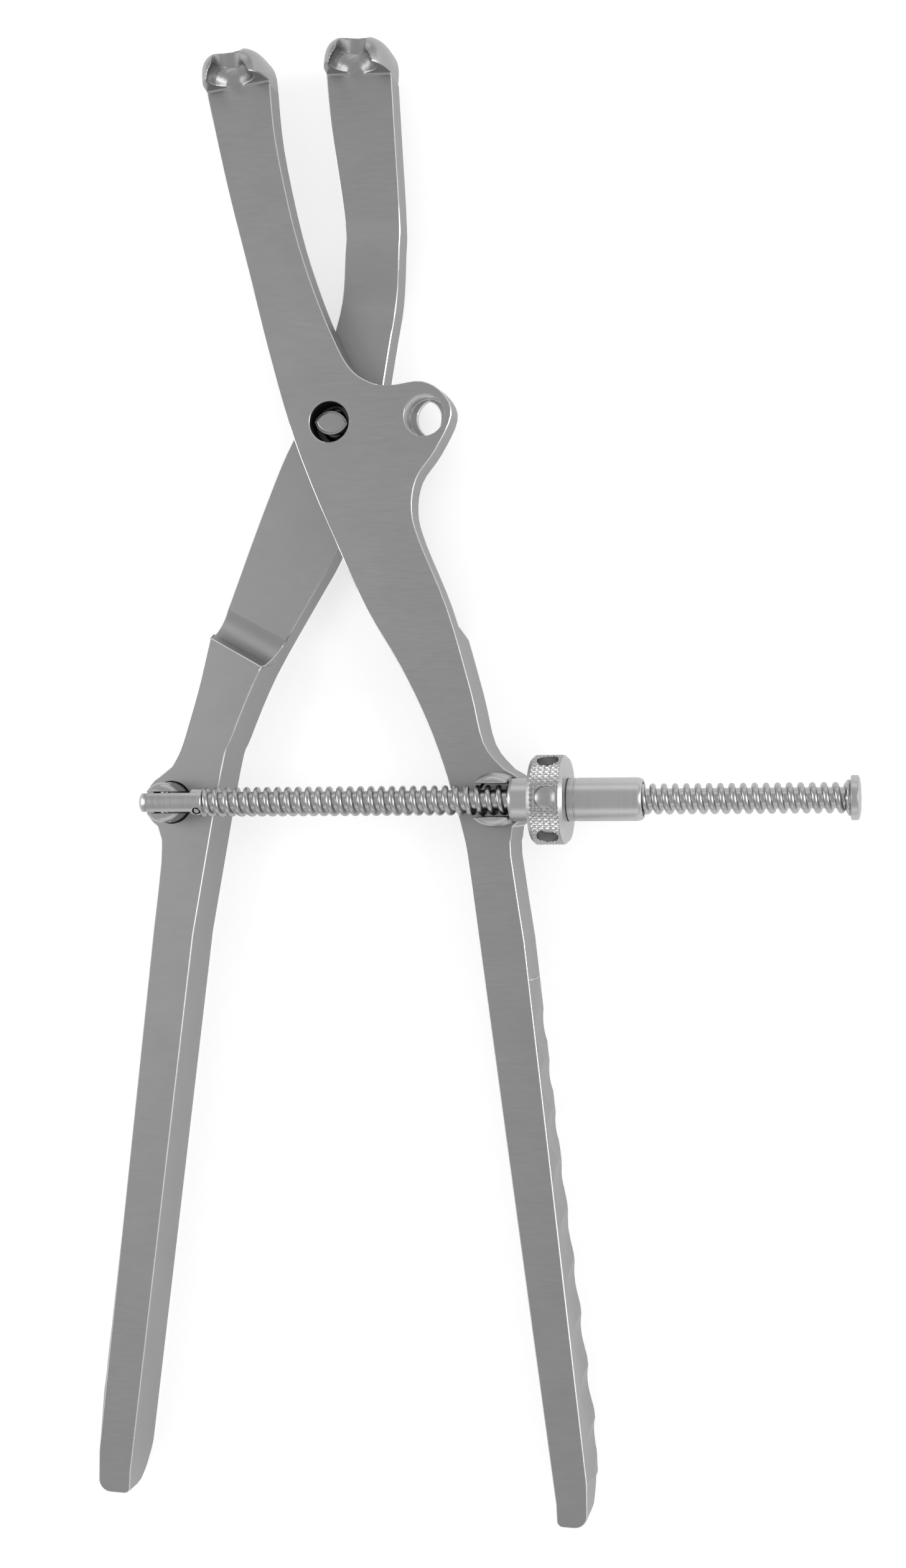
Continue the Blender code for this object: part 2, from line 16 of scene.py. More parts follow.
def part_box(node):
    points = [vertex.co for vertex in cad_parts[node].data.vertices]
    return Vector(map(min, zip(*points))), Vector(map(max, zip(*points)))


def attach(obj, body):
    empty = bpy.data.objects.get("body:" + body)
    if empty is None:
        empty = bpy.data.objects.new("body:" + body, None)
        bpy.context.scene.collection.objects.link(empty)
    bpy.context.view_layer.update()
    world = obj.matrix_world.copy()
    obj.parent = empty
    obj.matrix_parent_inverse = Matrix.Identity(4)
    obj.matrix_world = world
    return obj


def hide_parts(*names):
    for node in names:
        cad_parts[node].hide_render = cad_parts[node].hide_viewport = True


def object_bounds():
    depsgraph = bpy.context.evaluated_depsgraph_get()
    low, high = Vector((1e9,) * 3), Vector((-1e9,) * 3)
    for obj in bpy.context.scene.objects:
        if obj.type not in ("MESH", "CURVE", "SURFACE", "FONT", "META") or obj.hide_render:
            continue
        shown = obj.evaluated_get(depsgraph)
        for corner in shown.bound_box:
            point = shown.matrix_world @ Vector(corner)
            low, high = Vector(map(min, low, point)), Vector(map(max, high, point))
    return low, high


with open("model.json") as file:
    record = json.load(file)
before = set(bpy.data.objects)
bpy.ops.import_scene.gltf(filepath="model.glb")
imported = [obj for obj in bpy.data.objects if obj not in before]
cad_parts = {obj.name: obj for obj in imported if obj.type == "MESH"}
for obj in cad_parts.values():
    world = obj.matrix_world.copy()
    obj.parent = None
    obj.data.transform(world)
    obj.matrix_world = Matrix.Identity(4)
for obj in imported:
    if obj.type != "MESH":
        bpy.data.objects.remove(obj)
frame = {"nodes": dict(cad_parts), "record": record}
cad_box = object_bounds()
MM = 0.001
joints = {j["name"]: j for j in frame["record"]["behaviour"]["joints"]}

# %% [markdown]
# The spindle's axis carries most of the small pieces. Its direction comes from the nut's slide joint, and
# its height from the spindle's own box. A piece is modelled standing on Z, with heights measured from the
# left post, and one matrix lays it on the axis.

# %% The spindle's axis
left_post = Vector(joints["spindle_swivel"]["pos_m"])
fork_at = Vector(joints["fork_swivel"]["pos_m"])
along = Vector(joints["nut_travel"]["axis"])
rod_low, rod_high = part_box("threaded_spindle")
axis_z = (rod_low.z + rod_high.z) / 2
rod_r = (rod_high.z - rod_low.z) / 2
turn_z = atan2(along.y, along.x)
axis_place = (Matrix.Translation((left_post.x, left_post.y, axis_z)) @ Matrix.Rotation(turn_z, 4, "Z")
              @ Matrix.Rotation(pi / 2, 4, "Y"))


def reach(node):
    """Start and end of a CAD node along the spindle, measured from the left post."""
    low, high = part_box(node)
    return (low.x - left_post.x) / along.x, (high.x - left_post.x) / along.x


print("spindle axis height", round(axis_z, 5), "radius", round(rod_r, 5))

# %% [markdown]
# ## Making shapes
# Turned parts are drawn as half a profile and spun about Z, as on a lathe. Cuts are boolean differences
# that are applied at once, so each finished piece is one plain mesh at the origin.

# %% Shape helpers
MERGE = 1e-7        # points closer than this become one
FLAT_DEG = 0.4      # faces that turn by less than this are one flat face


def new_object(bm, name):
    """Linked object from a bmesh, with its normals facing outwards."""
    bmesh.ops.remove_doubles(bm, verts=bm.verts, dist=MERGE)
    bmesh.ops.recalc_face_normals(bm, faces=bm.faces)
    if bm.calc_volume(signed=True) < 0:
        bmesh.ops.reverse_faces(bm, faces=bm.faces)
    mesh = bpy.data.meshes.new(name)
    bm.to_mesh(mesh)
    bm.free()
    obj = bpy.data.objects.new(name, mesh)
    bpy.context.scene.collection.objects.link(obj)
    return obj


def turned(name, profile_mm, steps=96):
    """Solid of revolution about Z from (radius, height) points in millimetres."""
    bm = bmesh.new()
    verts = [bm.verts.new((r * MM, 0, h * MM)) for r, h in profile_mm]
    edges = [bm.edges.new(pair) for pair in zip(verts, verts[1:])]
    if profile_mm[0][0] > 0:
        edges.append(bm.edges.new((verts[-1], verts[0])))
    bmesh.ops.spin(bm, geom=verts + edges, cent=(0, 0, 0), axis=(0, 0, 1), angle=2 * pi, steps=steps,
                   use_merge=True)
    return new_object(bm, name)


def block(name, low_mm, high_mm):
    """Box between two corners in millimetres."""
    bm = bmesh.new()
    bmesh.ops.create_cube(bm, size=1)
    low, high = Vector(low_mm) * MM, Vector(high_mm) * MM
    bmesh.ops.scale(bm, vec=high - low, verts=bm.verts)
    bmesh.ops.translate(bm, vec=(low + high) / 2, verts=bm.verts)
    return new_object(bm, name)


def apply_modifiers(obj):
    """Turns what the modifiers make into the object's own mesh."""
    deps = bpy.context.evaluated_depsgraph_get()
    mesh = bpy.data.meshes.new_from_object(obj.evaluated_get(deps))
    obj.modifiers.clear()
    obj.data = mesh
    return obj


def cut(obj, tool, how="DIFFERENCE"):
    """Boolean of the object with a tool, which is used up. Other values of how join or intersect."""
    mod = obj.modifiers.new("cut", "BOOLEAN")
    mod.operation, mod.solver, mod.object = how, "EXACT", tool
    apply_modifiers(obj)
    bpy.data.objects.remove(tool, do_unlink=True)
    return obj


def broken_edges(obj, width_mm, segments=1, angle=30, leave=None, material=-1):
    """Breaks the edges sharper than an angle, but not where leave(middle of the edge) says so."""
    bm = bmesh.new()
    bm.from_mesh(obj.data)
    bmesh.ops.dissolve_limit(bm, angle_limit=radians(FLAT_DEG), verts=bm.verts, edges=bm.edges)
    sharp = [e for e in bm.edges if len(e.link_faces) == 2 and e.calc_face_angle(0) > radians(angle)
             and not (leave and leave((e.verts[0].co + e.verts[1].co) / 2))]
    bmesh.ops.bevel(bm, geom=sharp, offset=width_mm * MM, offset_type="OFFSET", segments=segments,
                    profile=0.5, affect="EDGES", clamp_overlap=False, material=material)
    bm.to_mesh(obj.data)
    bm.free()
    return obj


def smooth(obj, angle=30, crisp=None, crisp_angle=12):
    """Smooth shading that stays flat on the large faces: the larger face at an edge sets its normal.
    Where crisp(point) says so, weaker creases stay sharp too."""
    obj.data.shade_smooth()
    obj.data.set_sharp_from_angle(angle=radians(angle))
    if crisp:
        bm = bmesh.new()
        bm.from_mesh(obj.data)
        for edge in bm.edges:
            if len(edge.link_faces) == 2 and crisp(edge.verts[0].co):
                edge.smooth = edge.smooth and edge.calc_face_angle(0) < radians(crisp_angle)
        bm.to_mesh(obj.data)
        bm.free()
    mod = obj.modifiers.new("weights", "WEIGHTED_NORMAL")
    mod.mode, mod.weight, mod.keep_sharp = "FACE_AREA", 80, True
    return apply_modifiers(obj)


def put(obj, node, body, material, place=None):
    """Places a finished piece, gives it its finish and lets it stand for its CAD node."""
    if place is not None:
        obj.data.transform(place)
    if not obj.data.materials:
        obj.data.materials.append(material)
    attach(obj, body)
    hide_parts(node)
    print(obj.name, "faces", len(obj.data.polygons))
    return obj


def merged_copy(node, name):
    """Copy of a CAD node with its loose triangles joined. The node itself stays untouched."""
    bm = bmesh.new()
    bm.from_mesh(frame["nodes"][node].data)
    return new_object(bm, name)


print("points closer than", MERGE, "m are merged")

# %% [markdown]
# ## Steel
# All the steel is one family: a metal with a grey base, a soft gloss, and fine marks from the last
# machining step. On the arms the marks are short scratches across the part. On turned parts they are
# rings, so the noise only changes along the axis. Two of the arms' finishes are painted light: a much
# lighter grey on the broken edges is a painted highlight, and a near-black grey in the pin's hole is a
# painted shade.

# %% Steel finishes
CLOUD_SCALE, RELIEF_M, GLOSS_SPREAD, BLUE = 90, 0.0004, 0.05, 1.005


def steel(name, grey, rough, marks, stretch, bump=0.02, tint=0.06, turn=0.0):
    """Metal whose grey and gloss vary with fine stretched marks and a soft cloud."""
    mat = bpy.data.materials.new(name)
    mat.use_nodes = True
    nodes, links = mat.node_tree.nodes, mat.node_tree.links
    shader = nodes["Principled BSDF"]
    shader.inputs["Metallic"].default_value = 1.0
    coords = nodes.new("ShaderNodeTexCoord")
    mapping = nodes.new("ShaderNodeMapping")
    mapping.inputs["Scale"].default_value = stretch
    mapping.inputs["Rotation"].default_value = (0, 0, turn)
    links.new(coords.outputs["Object"], mapping.inputs["Vector"])
    fine = nodes.new("ShaderNodeTexNoise")
    fine.inputs["Scale"].default_value = marks
    fine.inputs["Detail"].default_value = 6
    fine.inputs["Roughness"].default_value = 0.62
    links.new(mapping.outputs["Vector"], fine.inputs["Vector"])
    cloud = nodes.new("ShaderNodeTexNoise")
    cloud.inputs["Scale"].default_value = CLOUD_SCALE
    cloud.inputs["Detail"].default_value = 3
    links.new(coords.outputs["Object"], cloud.inputs["Vector"])
    both = nodes.new("ShaderNodeMix")
    both.data_type = "FLOAT"
    both.inputs["Factor"].default_value = 0.5
    links.new(fine.outputs["Fac"], both.inputs[2])
    links.new(cloud.outputs["Fac"], both.inputs[3])
    colour = nodes.new("ShaderNodeValToRGB")
    low, high = grey - tint, grey + tint
    colour.color_ramp.elements[0].position, colour.color_ramp.elements[1].position = 0.3, 0.7
    colour.color_ramp.elements[0].color = (low, low, low * BLUE, 1)
    colour.color_ramp.elements[1].color = (high, high, high * BLUE, 1)
    links.new(both.outputs[0], colour.inputs["Fac"])
    links.new(colour.outputs["Color"], shader.inputs["Base Color"])
    gloss = nodes.new("ShaderNodeMapRange")
    gloss.inputs["From Min"].default_value, gloss.inputs["From Max"].default_value = 0.3, 0.7
    gloss.inputs["To Min"].default_value = rough - GLOSS_SPREAD
    gloss.inputs["To Max"].default_value = rough + GLOSS_SPREAD
    links.new(fine.outputs["Fac"], gloss.inputs["Value"])
    links.new(gloss.outputs["Result"], shader.inputs["Roughness"])
    relief = nodes.new("ShaderNodeBump")
    relief.inputs["Strength"].default_value = bump
    relief.inputs["Distance"].default_value = RELIEF_M
    links.new(fine.outputs["Fac"], relief.inputs["Height"])
    links.new(relief.outputs["Normal"], shader.inputs["Normal"])
    return mat


# name, grey, roughness, scale of the marks, their stretch along X, Y and Z
arm_finish = steel("satin_arm_steel", 0.395, 0.42, 260, (1.2, 12, 4), bump=0.015, tint=0.018)
foot_finish = steel("polished_foot_steel", 0.42, 0.30, 260, (0.8, 14, 4), bump=0.01, tint=0.02)
# painted highlight: a much lighter grey for the broken edges and the second pivot hole's wall, in place of
# the light they catch
painted_highlight_finish = steel("painted_highlight_edge_steel", 0.80, 0.34, 260, (1.2, 12, 4), bump=0.01, tint=0.04)
# painted shade: a near-black grey for the walls of the pivot hole around the pin, in place of the shade in
# the gap there
painted_shade_finish = steel("painted_shade_recess_steel", 0.10, 0.45, 260, (1, 1, 1), bump=0.01, tint=0.02)
post_finish = steel("turned_post_steel", 0.50, 0.30, 260, (1, 1, 8), bump=0.02, tint=0.03)
rod_finish = steel("rolled_thread_steel", 0.50, 0.27, 300, (9, 0.6, 0.6), bump=0.02, tint=0.05, turn=-turn_z)
nut_finish = steel("turned_nut_steel", 0.56, 0.32, 300, (14, 0.25, 0.25), bump=0.04, tint=0.05, turn=-turn_z)
pin_finish = steel("polished_pin_steel", 0.42, 0.30, 300, (1, 1, 1), bump=0.02, tint=0.03)
print("finishes", sorted(m.name for m in bpy.data.materials if m.name.endswith("_steel")))

# %% [markdown]
# ## The two arms
# The arms are forged and ground flat. Their main shape is in the CAD model, so a merged copy is taken. Its
# finger scallops are cut a little deeper, the handle's end and the lap's shoulder get their rounds, and all
# sharp edges are broken by 0.18 mm. The broken edges get a much lighter grey, a painted highlight, which
# shows as a thin bright line. The second pivot hole gets the same painted highlight, and the walls of the
# first one around the pin get a painted shade. The foot is cut off, because the next cell makes it.

# %% Arms
EDGE_MM = 0.18
EDGE_DEG = 38               # only edges sharper than this are broken
BORE_MM = 5.2               # the post bores lie within this distance of a post's axis
HOLE_MM = 4.25              # and the pivot holes within this distance of theirs
PARK_MM = (19.4, 0.5)       # middle of the second pivot hole
# each arm's foot: its name, the middle of its root and the way it points
FEET = {"front_arm": ("left_foot", (-19.05, 68.175), 5.8), "rear_arm": ("right_foot", (6.125, 68.7), -3.5)}
FOOT_CUT_MM = -0.75         # arm and foot meet this far before the root
THICK_MM = 12.0             # depth of the arms
END_MM = 9.0                # length of the round at a handle's end
MEET_MM = 0.15              # it runs out at a slight angle, which leaves no slivers
SCALLOPS, SCALLOP_PITCH_MM = 9, 10.154
GRIP_TOP_MM = -112
# each handle's scalloped side: its top, its bottom, which way is out and where the first scallop is
HANDLES = {"front_arm": ((40.3, -110.2), (51.6, -207.2), 1, 9.9),
           "rear_arm": ((-38.0, -110.2), (-48.75, -208.2), -1, 11.6)}
SHOULDER_MM, SHOULDER_DEG = (-18.95, -43.3, 0), 61.17   # middle of the shoulder's foot, and its facing
MILL_MM = 7.15              # radius of the round that fills it
REACH = 25                  # tools reach this far in millimetres, past all that they cut


def bench(root_mm, deg):
    """Matrix from a foot's own axes, with its root at the origin, to its place on the jaw."""
    return Matrix.Translation((root_mm[0] * MM, root_mm[1] * MM, 0)) @ Matrix.Rotation(radians(deg), 4, "Z")


def kept_sharp(point):
    """True in the post bores, whose edges stay crisp."""
    return min(hypot(point.x - p.x, point.y - p.y) for p in (left_post, fork_at)) < BORE_MM * MM


def on_grip(point):
    """True on the handles' scalloped part."""
    return point.y < GRIP_TOP_MM * MM


def scallops(arm, top_mm, bottom_mm, outward, first_mm):
    """Deepens the finger scallops. Each cut dips towards the rear, so the front edge stays straight."""
    top, bottom = Vector(top_mm), Vector(bottom_mm)
    down = (bottom - top).normalized()
    out = Vector((-down.y, down.x)) * outward
    for i in range(SCALLOPS):
        s = first_mm + i * SCALLOP_PITCH_MM
        t = s / (bottom - top).length
        # the cutter gets smaller, and its level at the front and rear face rises, with the grip's bulge
        radius, front, rear = 15.0 - 7.0 * t, 0.10 + 0.82 * t * t, -0.34 + 1.2 * t * t
        tool = turned("scallop", [(0, -2), (radius, -2), (radius, THICK_MM + 2), (0, THICK_MM + 2)], 128)
        spot, lean = top + down * s + out * (radius + rear), out * (front - rear) / THICK_MM
        tool.data.transform(Matrix(((1, 0, lean.x, spot.x * MM), (0, 1, lean.y, spot.y * MM),
                                    (0, 0, 1, 0), (0, 0, 0, 1))))
        cut(arm, tool)


def round_handle_end(arm, middle_mm):
    """Rounds the rear corner of a handle's end, which leaves a flat of one millimetre at the front."""
    low, deep = min(v.co.y for v in arm.data.vertices) / MM, THICK_MM - 1
    corner = block("corner", (middle_mm - 20, low - 2, -2), (middle_mm + 20, low + END_MM, deep))
    barrel = turned("barrel", [(0, -REACH), (1, -REACH), (1, REACH), (0, REACH)], 128)
    barrel.data.transform(Matrix.Translation((middle_mm * MM, (low + END_MM) * MM, deep * MM))
                          @ Matrix.Diagonal((1, END_MM + MEET_MM, deep + MEET_MM, 1))
                          @ Matrix.Rotation(pi / 2, 4, "Y"))
    cut(arm, cut(corner, barrel))


def round_shoulder(arm):
    """Fills the corner at the foot of the lap's shoulder with a round, as a milling cutter leaves it.
    The fill is trimmed by the arm itself, drawn out in depth, so it ends flush with the arm's sides."""
    fill = block("fill", (-2.6, -20, 5.35), (5, 20, 10.56))
    mill = turned("mill", [(0, -REACH), (MILL_MM, -REACH), (MILL_MM, REACH), (0, REACH)], 192)
    mill.data.transform(Matrix.Translation((5 * MM, 0, 12.94 * MM)) @ Matrix.Rotation(pi / 2, 4, "X"))
    cut(fill, mill)
    fill.data.transform(Matrix.Translation([c * MM for c in SHOULDER_MM])
                        @ Matrix.Rotation(radians(SHOULDER_DEG), 4, "Z"))
    outline = merged_copy("rear_arm", "outline")
    outline.data.transform(Matrix.Diagonal((1, 1, 2.1, 1)))
    cut(arm, cut(fill, outline, "INTERSECT"), "UNION")


def without_foot(arm, root_mm, deg, from_mm):
    """Cuts the arm off at a distance from the foot's root."""
    beyond = block("beyond", (-14, from_mm, -2), (14, 14, 30))
    beyond.data.transform(bench(root_mm, deg))
    return cut(arm, beyond)


for node, body in (("rear_arm", "rear_arm_body"), ("front_arm", "front_arm_body")):
    arm = merged_copy(node, node + "_steel")
    # slot 1 holds the painted highlight, slot 2 the painted shade
    for finish in (arm_finish, painted_highlight_finish, painted_shade_finish):
        arm.data.materials.append(finish)
    root, deg = FEET[node][1:]
    if node == "rear_arm":
        round_shoulder(arm)
    scallops(arm, *HANDLES[node])
    round_handle_end(arm, HANDLES[node][1][0])
    # the first cut only clears the foot away, and the second takes off the edges that were broken there
    without_foot(arm, root, deg, -0.02)
    # the broken edges take slot 1, the painted highlight
    broken_edges(arm, EDGE_MM, angle=EDGE_DEG, leave=kept_sharp, material=1)
    without_foot(arm, root, deg, FOOT_CUT_MM)
    smooth(arm, 40, crisp=on_grip)
    # plain flat faces, a painted highlight on the wall of the second pivot hole, and a painted shade on the
    # walls of the first one around the pin
    for face in arm.data.polygons:
        points = [arm.data.vertices[i].co / MM for i in face.vertices]
        if abs(face.normal.z) > 0.98:
            face.material_index = 0
        if abs(face.normal.z) < 0.5 and all((p.xy - Vector(PARK_MM)).length < HOLE_MM for p in points):
            face.material_index = 1
        if all(p.xy.length < HOLE_MM - 0.1 and 0.5 < p.z < 11.9 for p in points):
            face.material_index = 2
    put(arm, node, body, arm_finish)

# %% [markdown]
# ## Feet
# Each foot hooks under the head of a bone screw. On the real forceps it is forged with the jaw and then
# polished by hand, so its edges are soft and round. The foot is taken from the CAD arm, trimmed by a
# rounded bulb, covered with a fine even mesh and smoothed a few times, which rounds every edge in the same
# way as polishing does.

# %% Soft feet
VOXEL_MM, POLISH = 0.15, 11             # size of the mesh, rounds of smoothing
BULB_POWER, BULB_MID_MM = 3.2, 9.0      # how boxy the bulb is, and the height of its middle
BULB_WIDTH_MM, BULB_REACH_MM, BULB_SPARE = 13.4, 6.5, 1.003
foot_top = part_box("front_arm")[1].z / MM
for node, body in (("rear_arm", "rear_arm_body"), ("front_arm", "front_arm_body")):
    name, root, deg = FEET[node]
    foot = merged_copy(node, name + "_polished")
    foot.data.transform(bench(root, deg).inverted())
    bulb = bmesh.new()
    bmesh.ops.create_uvsphere(bulb, u_segments=96, v_segments=60, radius=1)
    for v in bulb.verts:
        v.co *= sum(abs(c) ** BULB_POWER for c in v.co) ** (-1 / BULB_POWER)
    half_sizes = Vector((BULB_WIDTH_MM / 2, BULB_REACH_MM, foot_top - BULB_MID_MM))
    bmesh.ops.scale(bulb, vec=half_sizes * MM * BULB_SPARE, verts=bulb.verts)
    bmesh.ops.translate(bulb, vec=(0, 0, BULB_MID_MM * MM), verts=bulb.verts)
    cut(foot, new_object(bulb, "bulb"), "INTERSECT")
    cut(foot, block("keep", (-14, -2.5, -2), (14, 14, 30)), "INTERSECT")
    skin = foot.modifiers.new("skin", "REMESH")
    skin.mode, skin.voxel_size = "VOXEL", VOXEL_MM * MM
    polish = foot.modifiers.new("polish", "SMOOTH")
    polish.factor, polish.iterations = 0.5, POLISH
    apply_modifiers(foot)
    bm = bmesh.new()
    bm.from_mesh(foot.data)
    bmesh.ops.bisect_plane(bm, geom=bm.verts[:] + bm.edges[:] + bm.faces[:],
                           plane_co=(0, FOOT_CUT_MM * MM, 0), plane_no=(0, -1, 0), clear_outer=True)
    rim = [e for e in bm.edges if e.is_boundary]
    bmesh.ops.contextual_create(bm, geom=rim)
    bm.to_mesh(foot.data)
    bm.free()
    foot.data.transform(bench(root, deg))
    foot.data.shade_smooth()
    foot.data.set_sharp_from_angle(angle=radians(60))
    foot.data.materials.clear()
    foot.data.materials.append(foot_finish)
    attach(foot, body)
    print(foot.name, "faces", len(foot.data.polygons))

# %% [markdown]
# ## Pivot pin and post hardware
# The pivot pin with its lens-shaped head, the two rivet rings and the two small pins come from the CAD
# model as well. Their edges are broken less than the arms'.

# %% Small pieces from the CAD model
# node, body, material slot, finish, width of the broken edge in millimetres
small = (("pivot_pin", "rear_arm_body", "pin_steel", pin_finish, 0.18),
         ("spindle_post_ring", "post_body", "post_steel", post_finish, 0.12),
         ("tongue_pin", "post_body", "pin_steel", pin_finish, 0.12),
         ("fork_post_ring", "fork_body", "post_steel", post_finish, 0.12),
         ("tongue_lock_pin", "spindle_body", "pin_steel", pin_finish, 0.1))
for node, body, slot_name, finish, width in small:
    piece = merged_copy(node, node + "_finished")
    broken_edges(piece, width, angle=35)
    smooth(piece, 34)
    put(piece, node, body, finish)

# %% [markdown]
# ## The two swivel posts
# The left post is a turned drum with a domed top, slotted for the tongue. The right post is an open fork,
# with a flat that the nut bears on. Both are turned with fine steps and milled afterwards.

# %% Swivel posts
GAP_MM = 0.3                # play between post, tongue and arm
POST_EDGE_DEG = 50


def post_blank(name, shaft, radius, top, dome_mm, power):
    """Turned post: shaft points, then a drum with a rounded top."""
    angles = [radians(90 * k / 14) for k in range(14)]
    rounds = [(radius * cos(a) ** power, top - dome_mm + dome_mm * sin(a)) for a in angles]
    return turned(name, shaft + [(radius, shaft[-1][1])] + rounds + [(0, top)], steps=120)


TONGUE_T_MM = 3.7           # thickness of the tongue between its flats
CROSS_R_MM = 1.2            # radius of the hole for the cross pin
post_low, post_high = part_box("spindle_post")
pin_low, pin_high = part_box("tongue_pin")
pin_z = (pin_low.z + pin_high.z) / 2
drum = post_blank("spindle_post_turned", [(0, 1.0), (2.6, 1.0), (2.6, 2.05), (3.0, 2.05), (3.0, 8.3)],
                  (post_high.x - post_low.x) / 2 / MM, post_high.z / MM, 1.6, 0.6)
half = TONGUE_T_MM / 2 + GAP_MM
cut(drum, block("slot", (-9, -half, THICK_MM - 2.2), (9, half, REACH)))
across = turned("across", [(0, -9), (CROSS_R_MM, -9), (CROSS_R_MM, 9), (0, 9)], 40)
across.data.transform(Matrix.Translation((0, 0, pin_z)) @ Matrix.Rotation(pi / 2, 4, "X"))
cut(drum, across)
broken_edges(drum, 0.1, angle=POST_EDGE_DEG)
smooth(drum, 40)
at_left = Matrix.Translation((left_post.x, left_post.y, 0)) @ Matrix.Rotation(turn_z, 4, "Z")
put(drum, "spindle_post", "post_body", post_finish, at_left)

FORK_R_MM, FORK_SLOT_MM = 5.3, 6.55
FLAT_AT_MM = 3.0            # the nut bears on a flat this far from the fork's axis
fork_shaft = [(0, 1.0), (2.8, 1.0), (2.8, 2.05), (3.2, 2.05), (3.2, 8.9), (4.4, 8.9),
              (4.4, THICK_MM + GAP_MM)]
fork = post_blank("fork_post_turned", fork_shaft, FORK_R_MM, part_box("fork_post")[1].z / MM, 2.4, 0.5)
cut(fork, block("channel", (-9, -FORK_SLOT_MM / 2, THICK_MM - 0.8), (9, FORK_SLOT_MM / 2, REACH)))
cut(fork, block("flat", (FLAT_AT_MM, -9, THICK_MM + GAP_MM + 0.01), (12, 9, REACH)))
broken_edges(fork, 0.12, angle=POST_EDGE_DEG)
smooth(fork, 40)
at_right = Matrix.Translation((fork_at.x, fork_at.y, 0)) @ Matrix.Rotation(turn_z, 4, "Z")
put(fork, "fork_post", "fork_body", post_finish, at_right)

# %% [markdown]
# ## The tongue
# The spindle's end is a turned piece with a round nose. Two flats are milled on it so that it fits the
# post's slot, a hole is drilled for the cross pin, and a small one for the pin that locks it to the rod.

# %% Tongue
TONGUE_R_MM = 2.9
TONGUE_NOSE_MM = 2.2        # length of the round nose
FLAT_TO_MM = 6.5            # the flats end here
LOCK_AT_MM, LOCK_DEG = 7.8, 40      # place of the lock pin along and around the tongue
nose_at, tongue_end = [v / MM for v in reach("spindle_tongue")]
nose_round = [(TONGUE_R_MM * sin(radians(t)), nose_at + TONGUE_NOSE_MM - TONGUE_NOSE_MM * cos(radians(t)))
              for t in range(10, 91, 10)]
body_line = [(TONGUE_R_MM, h) for h in (2, 5, FLAT_TO_MM - 0.3, FLAT_TO_MM + 0.4, tongue_end - 0.15)]
tongue = turned("spindle_tongue_milled", [(0, nose_at)] + nose_round + body_line
                + [(TONGUE_R_MM - 0.15, tongue_end), (0, tongue_end)], steps=96)
for side in (-1, 1):
    low, high = sorted((side * TONGUE_T_MM / 2, side * 9))
    cut(tongue, block("flat", (-9, low, -9), (9, high, FLAT_TO_MM)))
cross = turned("cross", [(0, -9), (CROSS_R_MM, -9), (CROSS_R_MM, 9), (0, 9)], 40)
cross.data.transform(Matrix.Translation((axis_z - pin_z, 0, 0)) @ Matrix.Rotation(pi / 2, 4, "X"))
cut(tongue, cross)
lock = turned("lock", [(0, 0.9), (0.85, 0.9), (0.85, 4), (0, 4)], 32)
lock.data.transform(Matrix.Rotation(radians(LOCK_DEG), 4, "Z") @ Matrix.Translation((0, 0, LOCK_AT_MM * MM))
                    @ Matrix.Rotation(-pi / 2, 4, "Y"))
cut(tongue, lock)
broken_edges(tongue, 0.1, angle=55)
smooth(tongue, 40)
put(tongue, "spindle_tongue", "spindle_body", rod_finish, axis_place)

# %% [markdown]
# ## The spindle's thread
# A round thread is rolled into the rod. One pitch of its wave-shaped profile is swept round with a
# screw motion: a spin that also moves along the axis. The sweep runs past both ends, and two planes
# trim it and leave flat ends.

# %% Round thread
PITCH_MM, ROOT_MM, RIDGE_MM, TURN_STEPS = 2.12, 1.98, 0.6, 48    # ROOT and RIDGE are radii
WELD_DIST = 2e-6            # joins the neighbouring turns
INTO_TONGUE_MM = 0.28       # the thread starts this far before the CAD rod
rod_start, rod_end = reach("threaded_spindle")
rod_start -= INTO_TONGUE_MM * MM
turns = ceil((rod_end - rod_start) / (PITCH_MM * MM)) + 3
crest_mm = rod_r / MM
profile = [(ROOT_MM + 0.02, 0), (ROOT_MM, 0.12), (ROOT_MM, 0.3), (ROOT_MM + 0.05, 0.42)]
for degrees_round in range(-90, 91, 20):
    t = radians(degrees_round)
    profile.append((crest_mm - RIDGE_MM + RIDGE_MM * cos(t), PITCH_MM / 2 + RIDGE_MM * sin(t)))
profile += [(r, PITCH_MM - h) for r, h in profile[3::-1]]
bm = bmesh.new()
wave = [bm.verts.new((r * MM, 0, h * MM)) for r, h in profile]
line = [bm.edges.new(pair) for pair in zip(wave, wave[1:])]
bmesh.ops.spin(bm, geom=wave + line, cent=(0, 0, 0), axis=(0, 0, 1), angle=2 * pi * turns,
               steps=TURN_STEPS * turns, dvec=(0, 0, PITCH_MM * MM / TURN_STEPS), use_merge=False)
bmesh.ops.remove_doubles(bm, verts=bm.verts, dist=WELD_DIST)
bmesh.ops.translate(bm, vec=(0, 0, rod_start - 1.6 * PITCH_MM * MM), verts=bm.verts)
for height, facing in ((rod_start, -1), (rod_end, 1)):
    bmesh.ops.bisect_plane(bm, geom=bm.verts[:] + bm.edges[:] + bm.faces[:], plane_co=(0, 0, height),
                           plane_no=(0, 0, facing), clear_outer=True)
    rim = [e for e in bm.edges if e.is_boundary and abs(e.verts[0].co.z - height) < 1e-6]
    bmesh.ops.contextual_create(bm, geom=rim)
spindle = new_object(bm, "threaded_spindle_round_thread")
smooth(spindle, 60)
put(spindle, "threaded_spindle", "spindle_body", rod_finish, axis_place)

# %% [markdown]
# ## End stop
# A small domed disc is welded to the spindle's end so that the nut can't come off. The weld bead is a
# squashed ball around the rod. Its surface is uneven, so its points are pushed in and out by noise.

